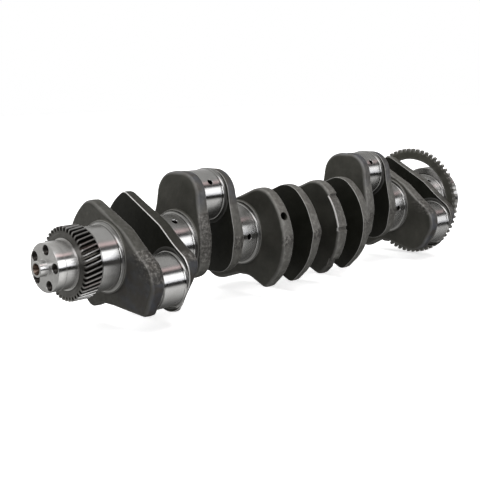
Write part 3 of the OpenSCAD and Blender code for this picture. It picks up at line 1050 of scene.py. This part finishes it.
def add_nose():
    """The nose: a centre hole, five tapped holes, a fine groove and the gear's seat."""
    low, high = node_box("crank_nose")
    x0, face = low[0], MOUNTS["nose_face"][0]
    gear_x = node_box("crank_gear")[0][0]
    r, chamfer, groove = 30.5, 1.1, face + 11
    centre_hole = [(x0 + 15, AXIS), (x0 + 13, 3.5), (x0 + 6.4, 3.5), (x0 + 0.15, 7.2)]
    spigot = [(x0, 7.5), (x0, 9.1), (x0 + 0.35, 9.75), (x0 + 1.0, 10), (face - 1.6, 10),
              (face - 0.6, 10.25), (face - 0.1, 11.0), (face, 12.0)]
    barrel = [(face, r - chamfer), (face + 0.3, r - 0.45), (face + chamfer, r),
              (groove - 0.05, r), (groove + 0.3, r - 0.75), (groove + 0.75, r - 0.75),
              (groove + 1.1, r - 0.12)]
    gear_seat = [(gear_x - 1.2, r - 0.12), (gear_x - 0.8, r - 0.5), (gear_x - 0.1, r - 0.5),
                 (gear_x, 32.5), (high[0], 32.5), (high[0], AXIS)]
    verts, faces = turned(centre_hole + spigot + barrel + gear_seat)
    obj = piece("turned_nose", verts, faces, MACHINED, "machined_steel", ["crank_nose"])
    spots = [polar(22.75, 31.5 + 72 * k) for k in range(5)]
    cut(obj, [tapped_hole(face, 1, *spot, *M12, depth=30, mouth=6.7) for spot in spots])

    def in_bore(points):
        return (np.hypot(points[:, 1], points[:, 2]) < 7.4) & (points[:, 0] < x0 + 16)

    def in_hole(points):
        return near_any(points, spots, 6.25) & (points[:, 0] > face + 0.5)

    set_mask(obj, "copper", in_bore)
    # The tapped holes' walls are painted dark as shade
    set_mask(obj, "drilled", in_hole)


def toothed(teeth, side):
    """Where each point of a row of teeth is, counted in teeth, and how far up its tooth.
    side is one flank from the tip down, as (place, height)."""
    shape = [(-a, h) for a, h in reversed(side)] + [(0, 1)] + side + [(0.5, 0)]
    share = np.array([k + a for k in range(teeth) for a, _ in shape])
    rise = np.array([h for _ in range(teeth) for _, h in shape])
    return share, rise


def add_gear():
    """The gear: helical teeth with bevelled ends, and a groove in its front face."""
    low, high = node_box("crank_gear")
    teeth, tip, height = 42, 46.5, 5.5
    helix = math.radians(13)
    side = [(0.108, 1.0), (0.136, 0.945), (0.195, 0.68), (0.245, 0.36), (0.285, 0.10),
            (0.34, 0.0)]
    share, rise = toothed(teeth, side)

    def twisted(x, radius):
        turn = (x - low[0]) * math.tan(helix) / tip
        return ring(x, radius, math.radians(6) + share * 2 * math.pi / teeth - turn)

    flat = np.ones(len(share))
    root = tip - height
    tooth = root + height * rise
    bevel = 1.1
    front, rear = low[0], high[0]
    loops = [twisted(front + 0.7, 32.55 * flat), twisted(front, 33.4 * flat),
             twisted(front, 37.6 * flat), twisted(front + 0.45, 38.2 * flat),
             twisted(front + 0.45, (root - 0.7) * flat),
             twisted(front + 0.45, np.minimum(tooth, tip - bevel))]
    loops += [twisted(x, tooth) for x in np.linspace(front + 0.45 + bevel * 0.7,
                                                  rear - bevel, 9)]
    loops += [twisted(rear, np.minimum(tooth, tip - bevel)), twisted(rear, (root - 0.7) * flat),
              twisted(rear, 33.4 * flat), twisted(rear - 0.7, 32.55 * flat)]
    verts, faces = loft(loops, cyclic=True)
    in_tooth = np.arange(len(loops)).repeat(len(share))
    in_tooth = (in_tooth > 4) & (in_tooth < len(loops) - 3)
    rises = np.tile(rise, len(loops))
    # Painted shade: the flanks and gaps between the teeth are painted darker
    gap = in_tooth * (1 - smoothstep(0.5, 0.96, rises))
    edge = in_tooth * (rises > 0.9) * 0.6
    piece("helical_crank_gear", verts, faces, GEAR, "gear_steel", ["crank_gear"], 24,
          {"gap": gap, "edge": edge})


def add_key():
    """The gear's key, with its ends and its long edges bevelled."""
    low, high = node_box("gear_key")
    edge, bevel = 0.5, 0.4
    loops = []
    for x, inset in ((low[0], edge), (low[0] + edge, 0), (high[0] - edge, 0),
                     (high[0], edge)):
        y0, z0 = low[1:] + inset
        y1, z1 = high[1:] - inset
        loops.append(np.array([
            (x, y0 + bevel, z0), (x, y1 - bevel, z0), (x, y1, z0 + bevel),
            (x, y1, z1 - bevel), (x, y1 - bevel, z1), (x, y0 + bevel, z1),
            (x, y0, z1 - bevel), (x, y0, z0 + bevel)]))
    piece("parallel_key", *loft(loops), BRIGHT, "bright_steel", ["gear_key"])


def add_tone_wheel():
    """The tone wheel: a flat ring of square teeth whose tips are rubbed bare."""
    low, high = node_box("tone_wheel")
    teeth, tip, height, bore = 60, 92.5, 5.5, TONE_BORE
    side = [(0.185, 1.0), (0.215, 0.93), (0.245, 0.35), (0.262, 0.08), (0.30, 0.0)]
    share, rise = toothed(teeth, side)
    t = math.radians(2.25) + share * 2 * math.pi / teeth
    flat = np.ones(len(t))
    root = tip - height
    tooth = root + height * rise
    x0, x1, burr = low[0], high[0], 0.45
    plan = [(x1 - 0.5, bore * flat, 0), (x0 + 0.5, bore * flat, 0),
            (x0, (bore + 0.6) * flat, 0.4), (x0, (bore + 4) * flat, 0),
            (x0, (root - 1.2) * flat, 0), (x0, tooth - burr, 0.6), (x0 + burr, tooth, 0.9),
            (x1 - burr, tooth, 0.9), (x1, tooth - burr, 0.6), (x1, (root - 1.2) * flat, 0),
            (x1, (bore + 0.6) * flat, 0.4)]
    verts, faces = loft([ring(x, r, t) for x, r, _ in plan], cyclic=True)
    edge = np.repeat([e for _, _, e in plan], len(t))
    on_rim = np.hypot(verts[:, 1], verts[:, 2]) > root - 1
    edge *= np.where(on_rim, 0.35 + 0.65 * np.tile((tooth - root) / height, len(plan)), 1)
    piece("pressed_tone_wheel", verts, faces, TONE, "tone_wheel_steel", ["tone_wheel"], 30,
          {"edge": edge})


def socket_screw(x_end, x_seat, x_top, y, z, shank, head, socket):
    """A low round-headed screw along X with a hexagon socket."""
    count = 48
    t = full_turn(count)
    hexagon = socket / np.cos((t + math.pi / 6) % (math.pi / 3) - math.pi / 6)
    ones = np.ones(count)
    tall = x_top - x_seat
    plan = [(x_end, (shank - 0.7) * ones), (x_end + 0.7, shank * ones),
            (x_seat, shank * ones), (x_seat, (head - 0.2) * ones),
            (x_seat + 0.25, head * ones), (x_seat + 0.35 * tall, (head - 0.3) * ones),
            (x_seat + 0.7 * tall, (head - 1.1) * ones), (x_top - 0.1, (head - 2.0) * ones),
            (x_top, (head - 2.5) * ones), (x_top, hexagon * 1.06),
            (x_top - 0.2, hexagon), (x_top - 0.75 * tall, hexagon)]
    return loft([ring(x, r, t, (y, z)) for x, r in plan])


def add_tone_screws():
    low, high = node_box("tone_wheel_screws")
    seat = node_box("tone_wheel")[1][0]
    verts, faces = [], []
    for angle in (-42, -14, 14, 42):
        v, f = socket_screw(low[0], seat, high[0], *polar(79.5, angle),
                            shank=3.0, head=5.25, socket=1.9)
        base = sum(len(part) for part in verts)
        verts.append(v)
        faces += [tuple(base + k for k in face) for face in f]
    piece("socket_screws", np.concatenate(verts), faces, BRIGHT, "bright_steel",
          ["tone_wheel_screws"])


def add_flange():
    """The flange: a recess, eight tapped holes and the hole of the dowel."""
    low, high = node_box("rear_flange")
    x0, x1 = low[0], high[0]
    r, recess, depth = 55.25, 23.5, 10
    rim = [(x0, AXIS), (x0, r - 1.4), (x0 + 0.4, r - 0.5), (x0 + 1.2, r), (x1 - 1.2, r),
           (x1 - 0.4, r - 0.5), (x1, r - 1.4)]
    hollow = [(x1, recess + 1.0), (x1 - 1.0, recess), (x1 - depth + 0.8, recess),
              (x1 - depth, recess - 0.8), (x1 - depth, 6.0), (x1 - depth - 3.4, AXIS)]
    verts, faces = turned(rim + hollow)
    obj = piece("turned_flange", verts, faces, MACHINED, "machined_steel", ["rear_flange"])
    spots = [polar(42, 22.5 + 45 * k) for k in range(8)]
    holes = [tapped_hole(x1, -1, *spot, *M12, depth=20, mouth=6.6) for spot in spots]
    y, z = MOUNTS["flywheel_dowel"][1:]
    fit = 4.02
    verts, faces = turned([(0.3, AXIS), (0.3, fit), (40, fit), (40, AXIS)], 48)
    bottom = node_box("flywheel_dowel")[0][0] - 1
    cut(obj, holes + [(aimed(verts, (bottom, y, z), (1, HAIR, 0)), faces)])

    def in_hole(points):
        return near_any(points, spots, 6.15) & (points[:, 0] < x1 - 0.5)

    # The tapped holes' walls are painted dark as shade
    set_mask(obj, "drilled", in_hole)


def add_dowel():
    """The dowel, with a rounded end and a small dimple."""
    low, high = node_box("flywheel_dowel")
    y, z = MOUNTS["flywheel_dowel"][1:]
    x0, x1, r = low[0], high[0], 4.0
    profile = [(x0, AXIS), (x0, r - 0.6), (x0 + 0.8, r), (x1 - 2.0, r), (x1 - 0.7, r - 0.5),
               (x1 - 0.2, r - 1.1), (x1, r - 1.9), (x1, 1.0), (x1 - 0.5, AXIS)]
    piece("hollow_ended_dowel", *turned(profile, 64, (y, z)), BRIGHT, "bright_steel",
          ["flywheel_dowel"])


# ---- The scene ----

add_camera()
add_floor()
add_studio()
add_nose()
add_gear()
add_key()
for number in range(7):
    add_main(number)
for number in range(6):
    add_pin(number)
for number in range(12):
    add_web(number)
add_tone_wheel()
add_tone_screws()
add_flange()
add_dowel()
